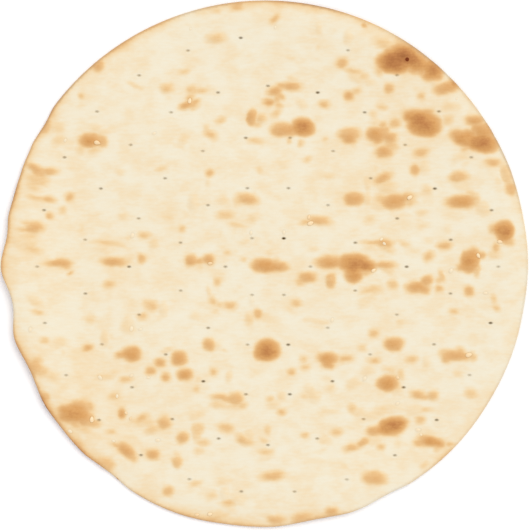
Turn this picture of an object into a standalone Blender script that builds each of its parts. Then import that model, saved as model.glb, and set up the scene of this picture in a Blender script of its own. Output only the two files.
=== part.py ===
"""A round lavash crackerbread: one thin, crisp disc of baked dough, 305 mm across.

The dough was sheeted, cut round and docked with rings of pin holes, so most of it stayed flat in the
oven. Here and there it still rose in low blisters, its edge curled up off the hearth and a few bites of
the outline pulled in. Sesame seeds lie half sunk in its top.

Metres, +Z up. The origin is under the middle of the disc, on the plane that it rests on.
"""

import math

import bmesh
import bpy
from mathutils import Matrix, Vector
from mathutils.geometry import delaunay_2d_cdt
from mathutils.kdtree import KDTree

MM = 0.001

# The disc
DIAMETER = 305 * MM
THICKNESS = 2.4 * MM
RIM_THICKNESS = 1.8 * MM
RIM_TAPER = 12 * MM  # how far in from the edge the dough starts to thin
EDGE_ROUND = 0.6 * MM  # how far the top and underside stop short of the outermost line
WAVE = 0.22 * MM  # how much the rolled thickness wanders either way
RADIUS = DIAMETER / 2

# The rim, read anticlockwise from +X: (angle in degrees, millimetres, half-width in degrees). A dent of
# less than 0 is a bulge.
RIM_DENTS = (
    (12, 0.4, 10), (40, 0.35, 24), (148, 1.5, 5), (153.5, 1.0, 5), (161, 1.9, 9), (169, 1.5, 8),
    (174.5, 2.0, 5.5), (188.9, 4.9, 8), (200, 1.6, 12), (206, 2.3, 8.5), (217, 1.2, 11), (227, 0.4, 6),
    (233, 1.7, 7), (250, -0.9, 14), (281, 1.6, 10), (293, 0.4, 5), (298, 1.3, 6), (316, -0.5, 14),
    (350, 0.35, 9),
)
RIM_CURLS = ((60, 1.1, 55), (190, 2.9, 50), (288, 1.6, 32), (345, 0.5, 40))
CURL_START = 104 * MM  # inside this radius the underside lies flat
CURL_EVERYWHERE = 0.5 * MM

# Docking pins: rings of (holes, first angle in degrees, radius along Y, radius along X)
DOCKER_CENTRE = (1.7 * MM, -1.8 * MM)
DOCKER_RINGS = (
    (6, 0, 16.9 * MM, 24.6 * MM),
    (12, 15, 46.4 * MM, 52.9 * MM),
    (18, 0, 75.2 * MM, 80.4 * MM),
    (22, 180 / 22, 104.0 * MM, 107.0 * MM),
    (26, 0, 132.2 * MM, 133.3 * MM),
)
DOCKER_PULL = 1.6 * MM  # how far the sheet crept towards +Y at the rim
DOCKER_SHIFT = math.radians(0.7)
CLOSED_HOLES = {(4, 6)}  # the ring and the hole in it that closed up without a trace
PIT_HALF_LENGTH = 1.45 * MM  # along X, the way the sheet was rolled
PIT_HALF_WIDTH = 0.85 * MM
PIT_DEPTH = 0.9 * MM

# Blisters: (x, y, half-length, half-width) in millimetres and the tilt of the long way in degrees
BLISTERS = (
    # back left
    (-101, 71.1, 6.7, 4, 0), (-134, 56, 5, 2.2, -20), (-125, 53.3, 6, 2.2, 5), (-133, 21, 5.5, 3.2, 0),
    (-119.5, 0.4, 7, 1.8, 0), (-87, 1.2, 6.8, 2.4, -3), (-42.8, 1.8, 3.5, 3, 0),
    (-32.3, 2.5, 3.5, 2.8, 0), (-10.5, 37.7, 6.5, 3, -10), (-45, 91.5, 4.5, 2, 20),
    (-96, 114.5, 3.5, 3, 40), (-57, 101.2, 3.5, 2.6, 0), (-28.5, 130.5, 6, 2.8, 5),
    # back middle
    (21.8, 79, 6.2, 5.2, -5), (10, 77.7, 6.8, 4, 0), (49, 75.3, 6.5, 3.8, 0), (49.1, 72.8, 3.9, 2.8, 0),
    (-7.5, 85, 2.8, 5, 0), (-2, 84, 3, 2.6, 0), (15.5, 102.8, 5.2, 2.3, 0), (5.5, 100, 4.5, 2.4, 15),
    # back right
    (75, 116.5, 10.2, 6, 0), (81.5, 120.5, 9.2, 5.2, -30), (89, 116, 6, 5, -30),
    (97.2, 112.4, 6.6, 5.1, -45), (105, 101.7, 7, 3.4, 15), (92.2, 80.3, 9.7, 6.8, -8),
    (88, 85.5, 8, 3.5, 0), (64.5, 75, 5.5, 4.3, 0), (72.5, 73, 4.5, 3, -10), (68.8, 64.9, 5.1, 3.2, 0),
    (126, 69.8, 9.3, 5.2, -8), (115, 72.4, 7.8, 4, -22), (121.5, 83.2, 5.5, 2.7, 0),
    (127.5, 76, 5.5, 6, 0), (112.3, 50.3, 5.4, 3.2, 15), (68.5, 49.5, 5, 2.3, 25), (51.5, 37.6, 5.5, 3.8, 0),
    (75, 35.7, 7.5, 4.2, 3), (81.5, 38, 5, 2, 20), (114.3, 36, 8.2, 3.7, 0), (32, 24.8, 6, 2.4, -8),
    (139, 19, 4.9, 6.2, 0), (133.5, 20, 3.5, 2.5, 0), (69.5, 11.7, 4.5, 2.2, -10),
    (119, 1.5, 5.5, 7.2, -25), (113.8, -2, 2.8, 2.2, 0),
    # middle
    (52, 0.5, 9.2, 5.6, 0), (51, -6, 5.5, 5, 0), (37.5, 1, 8.5, 3.3, 3), (59.5, -1.2, 5.2, 3.4, 0),
    (69, -0.8, 6.5, 1.8, 0), (0.3, -1.1, 8.3, 3.9, -4), (9, -1.5, 5, 2.8, 0),
    # front left
    (-77, -52.2, 5.3, 4.3, 10), (-82.5, -53, 3.7, 1.8, 5), (-32, -46.8, 3.6, 3.8, 0),
    (1.3, -50.2, 7.6, 6.3, 12), (-49.9, -55, 4.3, 4.1, 0), (-46.3, -64, 4.5, 3.3, 5),
    (-16.5, -78, 4.5, 4, 0), (-26, -77, 6, 1.9, 0), (-110.5, -86.5, 9, 5.8, 0),
    (-107, -82, 5.2, 3.2, 0), (-103, -90, 4.5, 4.5, 0), (-58.5, -92, 4, 3.4, 20),
    (-65, -96, 5, 2.1, 25), (-79.5, -108.5, 6, 3, -40), (-64.6, -110.5, 3.4, 3.1, 0),
    (-133, -60, 4.5, 4, -50), (-93, -116, 5, 3.5, -35), (-47.5, -100.6, 3.6, 3.2, 0),
    (-50.8, -115, 2.8, 3.8, 10), (-12, -102, 4.8, 2.6, -25),
    # front right
    (24.5, -7.7, 4.9, 3, 0), (37.9, -9.9, 2.6, 4.2, 0), (88.5, -13.5, 7, 3.2, 0), (94, -9.8, 3.3, 3, 35),
    (75, -46.5, 5.8, 4, 0), (36.3, -54.6, 5.7, 3.1, 0), (36.5, -58, 3.5, 2.8, 0), (110.5, -53, 8.5, 3, -3),
    (105, -54.7, 2.6, 2.8, 0), (71.4, -69.2, 6.1, 4.5, 0), (88.5, -75.7, 4.6, 2.4, -5),
    (97.5, -76.3, 3.2, 2.8, 0), (74, -93.9, 8.8, 4.6, 12), (63.5, -96.5, 4.6, 3, 10),
    (96.2, -103, 6.9, 3.1, -10), (50, -106.3, 4.6, 1.9, 5), (57, -103.5, 4.2, 1.8, 30),
    (63, -124, 7.5, 3.9, 0), (39, -143.1, 4, 2.4, 5), (21.5, -147, 6.5, 2.7, 8), (6.5, -148, 5.5, 2.6, 0),
    (4.5, -122.8, 7, 2.2, 8),
)
RISE_LEAST = 0.3 * MM  # how high a blister stands, plus a share of its half-width
RISE_SHARE = 0.17
BLISTER_SKIRT = 1.0 * MM  # the dough around a blister lifts with it

# Sesame seeds: those that lie on top, and those that were rolled into the sheet
SEED_LENGTH = 3.8 * MM
SEED_WIDTH = 2.5 * MM
SEED_HEIGHT = 1.0 * MM
SEED_PROUD = 0.1 * MM  # how far the middle of a seed on top sits above the crust
SEED_PRESSED = -0.25 * MM  # and that of a seed that was rolled into the sheet
# (x, y) in millimetres, the way the seed points in degrees, and its size
SEEDS_ON_TOP = (
    (-97, 70, -15, 1.0), (-43.5, 94.3, 80, 0.9), (26.4, 23.4, 25, 1.0), (25.5, 27, 80, 0.7),
    (84, 38.4, 30, 0.95), (136, 12.7, -5, 0.85), (123.6, 4.6, -60, 0.85), (118, -52.8, 15, 1.05),
    (-100, -90, 90, 0.95), (-80.3, -86.5, -40, 0.6), (-77.8, -89.6, 60, 0.55), (-39.3, -145.4, 10, 0.7),
    (-31.8, -145, 10, 0.8), (-31.6, 0.2, 10, 0.75), (63, -3.8, 35, 0.8), (77, -66, -30, 0.65),
)
SEEDS_ROLLED_IN = (
    (-115.5, 71.5, 60, 0.7), (-64, 75.5, 30, 0.75), (-43, 136, 70, 0.55), (111, 95.5, 70, 0.5),
    (-76.8, 16.5, 75, 0.95), (-135.5, -38, 80, 0.9), (-77.2, -37.5, 80, 0.95), (-72, -38, 20, 0.75),
    (-8, 18, 80, 0.8), (11, 18.2, 85, 0.8), (39, -32.5, 70, 0.8), (107.8, -4, 60, 0.95),
    (127.7, -17, 0, 0.8), (-95.3, -66, -45, 0.9), (-67.5, -66, 0, 0.65), (-77.2, -64.8, 20, 0.75),
    (-85.5, -76.5, 80, 0.75), (-87.5, -102.6, -20, 0.6), (-62, -102.3, 10, 0.9), (57.8, -66.5, 60, 0.95),
    (76.8, -81, 35, 0.8), (88.8, -96.3, 10, 0.95), (90.5, -99, -30, 0.6), (-112.5, -97, -35, 0.85),
    (6, 136.8, 80, 0.65), (69.2, 11.6, -40, 0.65), (67.6, 14.3, 60, 0.7),
)

# Mesh sizes
RIM_POINTS = 144
LATTICE = 7.6 * MM
UNDERSIDE_LATTICE = 24 * MM
BLISTER_POINTS = 9
PIT_POINTS = 5


def soft_step(value):
    """0 below 0, 1 above 1, and a smooth rise between them."""
    value = min(1.0, max(0.0, value))
    return value * value * (3 - 2 * value)


def bump(distance):
    """A round hill: 1 in the middle and 0 from distance 1 outwards."""
    return max(0.0, 1 - distance * distance) ** 2


def around_rim(features, angle):
    """The sum of the rim's dents or curls at an angle, in metres."""
    total = 0.0
    for centre, size, half_width in features:
        away = (math.degrees(angle) - centre + 180) % 360 - 180
        total += size * MM * bump(away / half_width)
    return total


def rim_radius(angle):
    return RADIUS - around_rim(RIM_DENTS, angle)


def elliptic_distance(x, y, centre, half_length, half_width, tilt=0.0):
    """How far (x, y) is from an ellipse's centre, where its edge is 1."""
    dx, dy = x - centre[0], y - centre[1]
    along = dx * math.cos(tilt) + dy * math.sin(tilt)
    across = dy * math.cos(tilt) - dx * math.sin(tilt)
    return math.hypot(along / half_length, across / half_width)


def docker_holes():
    """Where the docking pins went in. The sheet was stretched a little along X after docking."""
    holes = []
    for ring, (count, first, radius_y, radius_x) in enumerate(DOCKER_RINGS):
        for k in range(count):
            if (ring, k) in CLOSED_HOLES:
                continue
            angle = math.radians(first + 360 * k / count)
            radius = radius_y + (radius_x - radius_y) * math.cos(angle) ** 2
            radius += DOCKER_PULL * (radius / RADIUS) ** 2 * math.sin(angle)
            angle += DOCKER_SHIFT * math.sin(2 * angle)
            x = DOCKER_CENTRE[0] + radius * math.cos(angle)
            y = DOCKER_CENTRE[1] + radius * math.sin(angle)
            holes.append((x, y))
    return holes


def blister_shapes():
    """Each blister as (centre, half-length, half-width, tilt, rise), skirt included."""
    shapes = []
    for x, y, half_length, half_width, tilt in BLISTERS:
        rise = RISE_LEAST + RISE_SHARE * half_width * MM
        size = (half_length * MM + BLISTER_SKIRT, half_width * MM + BLISTER_SKIRT)
        shapes.append(((x * MM, y * MM), *size, math.radians(tilt), rise))
    return shapes


HOLES = docker_holes()
SHAPES = blister_shapes()


def underside_height(x, y):
    """The underside lies flat in the middle and curls up towards the rim."""
    angle = math.atan2(y, x)
    outward = soft_step((math.hypot(x, y) - CURL_START) / (RADIUS - CURL_START))
    return outward * (CURL_EVERYWHERE + around_rim(RIM_CURLS, angle))


def dough_thickness(x, y):
    """The rolled sheet, a little uneven, and thinner at the rim."""
    wander = math.sin(x / 0.023 + 1.2) * math.cos(y / 0.019 - 0.7) + 0.6 * math.sin((x + 2 * y) / 0.041)
    near_rim = soft_step((math.hypot(x, y) - RADIUS + RIM_TAPER) / RIM_TAPER)
    return THICKNESS + WAVE * wander - (THICKNESS - RIM_THICKNESS) * near_rim


def blister_rise(x, y):
    """How far the blisters lift the top. Where two meet, they blend instead of stacking."""
    squares = 0.0
    for centre, half_length, half_width, tilt, rise in SHAPES:
        if abs(x - centre[0]) + abs(y - centre[1]) < 2 * half_length + half_width:
            squares += (rise * bump(elliptic_distance(x, y, centre, half_length, half_width, tilt))) ** 2
    return math.sqrt(squares)


def pit_depth(x, y):
    """A docking pin's hole is a steep little cone."""
    nearest = min(elliptic_distance(x, y, hole, PIT_HALF_LENGTH, PIT_HALF_WIDTH) for hole in HOLES)
    return PIT_DEPTH * max(0.0, 1 - nearest)


def top_height(x, y):
    return underside_height(x, y) + dough_thickness(x, y) + blister_rise(x, y) - pit_depth(x, y)


def rim_points(inset=0.0):
    points = []
    for k in range(RIM_POINTS):
        angle = 2 * math.pi * k / RIM_POINTS
        radius = rim_radius(angle) - inset
        points.append((radius * math.cos(angle), radius * math.sin(angle)))
    return points


def ring_of(centre, half_length, half_width, tilt, count):
    """Points evenly round an ellipse."""
    points = []
    for k in range(count):
        angle = 2 * math.pi * k / count
        along, across = half_length * math.cos(angle), half_width * math.sin(angle)
        x = centre[0] + along * math.cos(tilt) - across * math.sin(tilt)
        y = centre[1] + along * math.sin(tilt) + across * math.cos(tilt)
        points.append((x, y))
    return points


def lattice(spacing):
    """Points of a triangular lattice that lie inside the rim."""
    points = []
    rows = int(RADIUS / spacing / 0.866) + 1
    for row in range(-rows, rows + 1):
        y = row * spacing * 0.866
        for column in range(-rows, rows + 1):
            x = (column + 0.5 * (row % 2)) * spacing
            if math.hypot(x, y) < RADIUS - 0.7 * spacing:
                points.append((x, y))
    return points


def add_clear(kept, points, gap):
    """Adds the points that are inside the rim and at least gap away from those kept before this call."""
    tree = KDTree(len(kept))
    for index, (x, y) in enumerate(kept):
        tree.insert((x, y, 0), index)
    tree.balance()
    for x, y in points:
        inside = math.hypot(x, y) < rim_radius(math.atan2(y, x)) - EDGE_ROUND - gap
        if inside and tree.find((x, y, 0))[2] > gap:
            kept.append((x, y))


def top_points():
    """The rim first, then the docker pits, the blisters and a lattice wherever there is still room."""
    points = rim_points(EDGE_ROUND)
    for hole in HOLES:
        points.append(hole)
        points.extend(ring_of(hole, PIT_HALF_LENGTH, PIT_HALF_WIDTH, 0.0, PIT_POINTS))
    for centre, half_length, half_width, tilt, _ in SHAPES:
        add_clear(points, [centre], 1.2 * MM)
        for share, count in ((0.55, 6), (1.0, BLISTER_POINTS)):
            ring = ring_of(centre, share * half_length, share * half_width, tilt, count)
            add_clear(points, ring, 1.5 * MM)
    add_clear(points, lattice(LATTICE), 0.55 * LATTICE)
    return points


def underside_points():
    """The rim, four rings that follow its curl, and a wide lattice on the flat middle."""
    points = rim_points(EDGE_ROUND)
    for share, count in ((0.0, 60), (0.3, 72), (0.6, 96), (0.85, 120)):
        radius = CURL_START + share * (RADIUS - EDGE_ROUND - CURL_START)
        add_clear(points, ring_of((0, 0), radius, radius, 0.0, count), 3 * MM)
    add_clear(points, lattice(UNDERSIDE_LATTICE), 0.5 * UNDERSIDE_LATTICE)
    return points


def tile(points):
    """Triangles between the points, inside the rim, which comes first in the list."""
    rim = list(range(RIM_POINTS))
    flat = [Vector(point) for point in points]
    corners, _, faces, originals, _, _ = delaunay_2d_cdt(flat, [], [rim], 1, 1e-7)
    places = {original: new for new, olds in enumerate(originals) for original in olds}
    return corners, faces, [places[k] for k in rim]


def add_surface(body, points, height_at, upward):
    """Adds the top or the underside to the mesh, and returns its rim's vertices in order."""
    corners, faces, rim = tile(points)
    vertices = [body.verts.new((x, y, height_at(x, y))) for x, y in corners]
    for face in faces:
        a, b, c = (vertices[k] for k in face)
        turned = (b.co.xy - a.co.xy).cross(c.co.xy - a.co.xy) > 0
        body.faces.new((a, b, c) if turned == upward else (a, c, b))
    return [vertices[k] for k in rim]


def add_edge(body, upper, lower):
    """Closes the body round its rim through one outermost line."""
    outermost = []
    for k, (x, y) in enumerate(rim_points()):
        outermost.append(body.verts.new((x, y, (upper[k].co.z + lower[k].co.z) / 2)))
    for k in range(RIM_POINTS):
        after = (k + 1) % RIM_POINTS
        body.faces.new((upper[k], outermost[k], outermost[after], upper[after]))
        body.faces.new((outermost[k], lower[k], lower[after], outermost[after]))


def build_bread():
    body = bmesh.new()
    upper = add_surface(body, top_points(), top_height, upward=True)
    lower = add_surface(body, underside_points(), underside_height, upward=False)
    add_edge(body, upper, lower)
    bmesh.ops.triangulate(body, faces=body.faces[:])
    mesh = bpy.data.meshes.new("crackerbread")
    body.to_mesh(mesh)
    body.free()
    mesh.shade_smooth()
    bread = bpy.data.objects.new("crackerbread", mesh)
    bpy.context.scene.collection.objects.link(bread)
    return bread


def build_seed_mesh():
    """A teardrop: three rings of five corners between a blunt and a sharp tip."""
    body = bmesh.new()
    rings = []
    for along, share in ((-0.3, 0.85), (0.02, 1.0), (0.32, 0.55)):
        ring = []
        for k in range(5):
            angle = 2 * math.pi * k / 5
            y = 0.5 * SEED_WIDTH * share * math.cos(angle)
            z = 0.5 * SEED_HEIGHT * share * math.sin(angle)
            ring.append(body.verts.new((along * SEED_LENGTH, y, z)))
        rings.append(ring)
    blunt = body.verts.new((-0.48 * SEED_LENGTH, 0, 0))
    sharp = body.verts.new((0.52 * SEED_LENGTH, 0, 0))
    for k in range(5):
        after = (k + 1) % 5
        body.faces.new((blunt, rings[0][after], rings[0][k]))
        body.faces.new((sharp, rings[2][k], rings[2][after]))
        for near, far in zip(rings, rings[1:]):
            body.faces.new((near[k], near[after], far[after], far[k]))
    bmesh.ops.recalc_face_normals(body, faces=body.faces[:])
    bmesh.ops.triangulate(body, faces=body.faces[:])
    mesh = bpy.data.meshes.new("sesame_seed")
    body.to_mesh(mesh)
    body.free()
    return mesh


def lie_on_crust(x, y, heading, proud):
    """A seed's place on the top, tilted with the crust under it."""
    step = 1 * MM
    slope_x = (top_height(x + step, y) - top_height(x - step, y)) / (2 * step)
    slope_y = (top_height(x, y + step) - top_height(x, y - step)) / (2 * step)
    upright = Vector((-slope_x, -slope_y, 1)).normalized()
    tilt = Vector((0, 0, 1)).rotation_difference(upright).to_matrix().to_4x4()
    middle = Vector((x, y, top_height(x, y))) + upright * proud
    return Matrix.Translation(middle) @ tilt @ Matrix.Rotation(heading, 4, "Z")


def scatter_seeds():
    """Every seed as its own object in one collection."""
    mesh = build_seed_mesh()
    collection = bpy.data.collections.new("seeds")
    bpy.context.scene.collection.children.link(collection)
    for rows, proud in ((SEEDS_ON_TOP, SEED_PROUD), (SEEDS_ROLLED_IN, SEED_PRESSED)):
        for x, y, heading, size in rows:
            seed = bpy.data.objects.new("seed", mesh)
            lie = lie_on_crust(x * MM, y * MM, math.radians(heading), proud * size)
            seed.matrix_world = lie @ Matrix.Scale(size, 4)
            collection.objects.link(seed)
    return collection


def fuse(bread, collection):
    """One Boolean union joins the seeds to the bread. It is applied, and the loose seeds are removed."""
    union = bread.modifiers.new("fuse_seeds", "BOOLEAN")
    union.operation = "UNION"
    union.solver = "EXACT"
    union.operand_type = "COLLECTION"
    union.collection = collection
    bpy.context.view_layer.update()
    evaluated = bread.evaluated_get(bpy.context.evaluated_depsgraph_get())
    fused = bpy.data.meshes.new_from_object(evaluated)
    bread.modifiers.clear()
    bread.data = fused
    for seed in list(collection.objects):
        bpy.data.objects.remove(seed)
    bpy.data.collections.remove(collection)


def baked_dough():
    material = bpy.data.materials.new("baked_dough")
    material.use_nodes = True
    surface = material.node_tree.nodes["Principled BSDF"]
    surface.inputs["Base Color"].default_value = (0.88, 0.76, 0.54, 1)
    surface.inputs["Roughness"].default_value = 0.65
    surface.inputs["Metallic"].default_value = 0.0
    return material


def main():
    for old in list(bpy.data.objects):
        bpy.data.objects.remove(old)
    bread = build_bread()
    fuse(bread, scatter_seeds())
    bread.data.materials.clear()
    bread.data.materials.append(baked_dough())
    print(f"crackerbread: {len(bread.data.polygons)} faces, {DIAMETER / MM:.0f} mm across")


main()
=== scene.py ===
# %% [markdown]
# # A round lavash crackerbread
#
# Lavash crackerbread is a plain dough rolled to a thin sheet, cut into a disc, pricked all over by rings
# of docking pins, strewn with a few sesame seeds and baked until it snaps. This file builds one in the
# same order: the sheet and its edge, the pricks, the blisters that the oven raised, the toasting and the
# seeds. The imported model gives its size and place, and everything here is in metres with +Z up.

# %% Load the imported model
import math
import random
from typing import NamedTuple

import bpy
import numpy as np
from mathutils import Matrix, Vector
from mathutils.geometry import delaunay_2d_cdt
from mathutils.kdtree import KDTree


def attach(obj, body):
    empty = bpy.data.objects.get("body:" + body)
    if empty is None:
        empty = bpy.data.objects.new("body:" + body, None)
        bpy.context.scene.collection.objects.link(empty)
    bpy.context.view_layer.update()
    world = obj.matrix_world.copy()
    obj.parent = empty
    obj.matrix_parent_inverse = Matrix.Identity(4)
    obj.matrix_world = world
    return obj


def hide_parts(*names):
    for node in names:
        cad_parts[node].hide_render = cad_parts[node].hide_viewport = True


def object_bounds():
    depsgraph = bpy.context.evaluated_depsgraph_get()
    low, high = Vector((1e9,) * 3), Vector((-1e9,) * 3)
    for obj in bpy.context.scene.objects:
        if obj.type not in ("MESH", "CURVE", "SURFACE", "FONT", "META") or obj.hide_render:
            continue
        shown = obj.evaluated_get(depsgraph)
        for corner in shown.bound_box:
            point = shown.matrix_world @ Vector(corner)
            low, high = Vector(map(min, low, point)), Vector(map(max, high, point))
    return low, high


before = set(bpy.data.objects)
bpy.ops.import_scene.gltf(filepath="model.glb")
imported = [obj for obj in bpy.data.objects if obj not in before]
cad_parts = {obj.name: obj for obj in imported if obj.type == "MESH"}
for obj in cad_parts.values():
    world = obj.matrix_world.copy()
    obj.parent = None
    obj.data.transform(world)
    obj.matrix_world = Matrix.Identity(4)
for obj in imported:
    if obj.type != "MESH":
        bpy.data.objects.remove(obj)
cad_low, cad_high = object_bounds()
print("packed box in mm:", [round(side * 1000, 2) for side in cad_high - cad_low])

# %% [markdown]
# ## The camera, the light and the table
#
# The bread is looked at from straight above through a long lens, so that its round outline isn't bent by
# perspective. The light is a broad window behind the bread's right shoulder plus a bright, faintly cool
# room. The room does most of the work, because crackerbread is almost flat and hard light would make its
# low relief look like craters. The table is a plain pale plane.

# %% Camera
MM = 0.001
VIEW_WIDTH = 306.7 * MM  # how much of the table the picture spans
LENS = 100.0
SENSOR = 36.0
camera_data = bpy.data.cameras.new("overhead_camera")
camera_data.lens = LENS
camera_data.sensor_width = SENSOR
camera = bpy.data.objects.new("overhead_camera", camera_data)
camera.location = (0.1 * MM, -0.75 * MM, VIEW_WIDTH * LENS / SENSOR + 3 * MM)
bpy.context.scene.collection.objects.link(camera)
bpy.context.scene.camera = camera
print(f"camera {camera.location.z:.3f} m above the table")


# %% Light and table
TABLE_SIDE = 6.0
TABLE_GAP = 0.05 * MM


def add_window(direction, strength, softness, colour):
    """A distant soft light. It falls evenly on the whole bread, as light from a big window would."""
    light = bpy.data.lights.new("window", "SUN")
    light.energy = strength
    light.angle = math.radians(softness)
    light.color = colour
    lamp = bpy.data.objects.new("window", light)
    lamp.rotation_euler = (-Vector(direction)).to_track_quat("-Z", "Y").to_euler()
    bpy.context.scene.collection.objects.link(lamp)


def light_room(strength, colour):
    world = bpy.data.worlds.new("bright_room")
    world.use_nodes = True
    background = world.node_tree.nodes["Background"]
    background.inputs["Color"].default_value = (*colour, 1)
    background.inputs["Strength"].default_value = strength
    bpy.context.scene.world = world


def add_table():
    """A plain plane, a hair below the bread so that the two don't touch."""
    bpy.ops.mesh.primitive_plane_add(size=TABLE_SIDE, location=(0, 0, -TABLE_GAP))
    table = bpy.context.object
    table.name = "pale_table"
    material = bpy.data.materials.new("pale_table")
    material.use_nodes = True
    surface = material.node_tree.nodes["Principled BSDF"]
    surface.inputs["Base Color"].default_value = (0.98, 0.98, 0.98, 1)
    surface.inputs["Roughness"].default_value = 0.9
    table.data.materials.append(material)


bpy.context.scene.view_settings.view_transform = "Standard"
add_window(direction=(0.55, 0.6, 1.0), strength=1.1, softness=40, colour=(1.0, 1.0, 0.93))
light_room(strength=0.9, colour=(0.98, 0.965, 1.0))
add_table()
print("window, room and table set up")

# %% [markdown]
# ## Small tools
#
# Four functions are used over and over. `soft_step` is a smooth ramp and `bump` a round hill.
# `ellipse_distance` is a field for such a hill, 0 in the middle of an ellipse and 1 at its edge. `mottle`
# is value noise: random numbers on a square lattice with smooth blends between them. It can be drawn out
# along X, because the dough went through the rollers along X and everything uneven in it was stretched
# that way.


# %% Ramps, hills and mottling
MOTTLE_CELLS = 512
MOTTLE_MIDDLE = 200  # the cell that the origin falls in


def soft_step(value, low=0.0, high=1.0):
    share = np.clip((value - low) / (high - low), 0, 1)
    return share * share * (3 - 2 * share)


def bump(distance):
    return np.clip(1 - np.square(distance), 0, None) ** 2


def ellipse_distance(dx, dy, half_length, half_width, turn=0.0, shoulders=2.0):
    """The field at offsets from the middle. With shoulders above 2, the ellipse gets squarer."""
    along = np.abs(dx * math.cos(turn) + dy * math.sin(turn)) / half_length
    across = np.abs(dy * math.cos(turn) - dx * math.sin(turn)) / half_width
    return (along**shoulders + across**shoulders) ** (1 / shoulders)


def mottle(x, y, size, seed, stretch=1.0):
    """Random hills and hollows from -1 to 1, about size apart, and stretch times longer along X."""
    lattice = np.random.default_rng(seed).uniform(-1, 1, (MOTTLE_CELLS, MOTTLE_CELLS))
    across, up = x / (size * stretch) + MOTTLE_MIDDLE, y / size + MOTTLE_MIDDLE
    column, row = np.floor(across).astype(int), np.floor(up).astype(int)
    right, top = soft_step(across - column), soft_step(up - row)
    low = lattice[row, column] * (1 - right) + lattice[row, column + 1] * right
    high = lattice[row + 1, column] * (1 - right) + lattice[row + 1, column + 1] * right
    return low * (1 - top) + high * top


# %% [markdown]
# ## The outline and the curled rim
#
# A cutter leaves a true circle. In the oven the edge dries first, curls up off the hearth and pulls in
# here and there, mostly along the left. Both are written as a few features round the rim: an angle, a
# size and a half-width. The sums of their hills give the radius and the lift at any angle. A dent of less
# than 0 is a bulge.

# %% Rim features
RADIUS = (cad_high.x - cad_low.x) / 2
# (angle in degrees anticlockwise from +X, millimetres, half-width in degrees)
RIM_DENTS = (
    (12, 0.4, 10), (40, 0.35, 24), (148, 1.5, 5), (153.5, 1.0, 5), (161, 1.9, 9), (169, 1.5, 8),
    (174.5, 2.0, 5.5), (188.9, 4.9, 8), (200, 1.6, 12), (206, 2.3, 8.5), (217, 1.2, 11), (227, 0.4, 6),
    (233, 1.7, 7), (250, -0.9, 14), (281, 1.6, 10), (293, 0.4, 5), (298, 1.3, 6), (316, -0.5, 14),
    (350, 0.35, 9),
)
RIM_CURLS = ((60, 1.1, 55), (190, 2.9, 50), (288, 1.6, 32), (345, 0.5, 40))
CURL_START = 104 * MM  # inside this radius the underside lies flat
CURL_EVERYWHERE = 0.5 * MM


def around_rim(features, angle):
    """The features' sum at each angle, in the features' own unit."""
    total = np.zeros_like(angle)
    for centre, size, half_width in features:
        away = (np.degrees(angle) - centre + 180) % 360 - 180
        total = total + size * bump(away / half_width)
    return total


def rim_radius(angle):
    return RADIUS - around_rim(RIM_DENTS, angle) * MM


def rim_distance(x, y):
    """How far inside the rim a point is."""
    return rim_radius(np.arctan2(y, x)) - np.hypot(x, y)


print(f"deepest dent: {RADIUS / MM - rim_radius(np.radians(np.arange(360.0))).min() / MM:.1f} mm")

# %% [markdown]
# ## The rolled sheet
#
# The underside rests flat in the middle and rises towards the rim. The top is the underside plus the
# dough's thickness, which wanders a little, thins at the edge and carries faint ridges from the rollers.

# %% Underside and thickness
THICKNESS = 2.4 * MM
RIM_THICKNESS = 1.8 * MM
RIM_TAPER = 12 * MM  # how far in from the edge the dough starts to thin
WAVE = 0.22 * MM


def underside_height(x, y):
    outward = soft_step(np.hypot(x, y), CURL_START, RADIUS)
    return outward * (CURL_EVERYWHERE + around_rim(RIM_CURLS, np.arctan2(y, x)) * MM)


def dough_thickness(x, y):
    wander = np.sin(x / 0.023 + 1.2) * np.cos(y / 0.019 - 0.7) + 0.6 * np.sin((x + 2 * y) / 0.041)
    near_rim = soft_step(np.hypot(x, y), RADIUS - RIM_TAPER, RADIUS)
    return THICKNESS + WAVE * wander - (THICKNESS - RIM_THICKNESS) * near_rim


def roller_ridges(x, y):
    ridges = 0.035 * mottle(x, y, 3.2 * MM, 11, stretch=5) + 0.03 * mottle(x, y, 2.6 * MM, 12)
    return ridges * MM


# %% [markdown]
# ## The docking holes
#
# Pins on a round plate prick the dough so that steam can leave. They stand in five rings of 6, 12, 18,
# 22 and 26. The sheet shrank more one way than the other afterwards, so each ring is a little wider
# along X. A rule places all 84, of which one closed up without a trace. The others closed by different
# amounts while they baked, so a hole's size and the painted shade that darkens it follow how far open
# it stayed.

# %% Docking holes
DOCKER_CENTRE = (1.7 * MM, -1.8 * MM)
DOCKER_RINGS = (
    (6, 0, 16.9 * MM, 24.6 * MM),
    (12, 15, 46.4 * MM, 52.9 * MM),
    (18, 0, 75.2 * MM, 80.4 * MM),
    (22, 180 / 22, 104.0 * MM, 107.0 * MM),
    (26, 0, 132.2 * MM, 133.3 * MM),
)
DOCKER_PULL = 1.6 * MM
DOCKER_SHIFT = math.radians(0.7)
PIT_HALF_LENGTH = 1.45 * MM
PIT_HALF_WIDTH = 0.85 * MM
PIT_DEPTH = 1.3 * MM
PIT_REACH = 4 * MM  # a hole changes nothing beyond this
HOLE_DRAW = 8
# by ring, counted outwards, and by hole, counted anticlockwise from +X
CLOSED_HOLES = {(4, 6)}
OPEN_HOLES = {
    (0, 1): 1.0, (4, 25): 0.8, (2, 12): 0.8, (3, 4): 0.8, (1, 9): 0.7, (3, 1): 0.75, (4, 23): 0.65,
    (2, 14): 0.65, (2, 0): 0.65, (3, 19): 0.65, (2, 15): 0.6, (4, 7): 0.65, (2, 9): 0.6,
}


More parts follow.
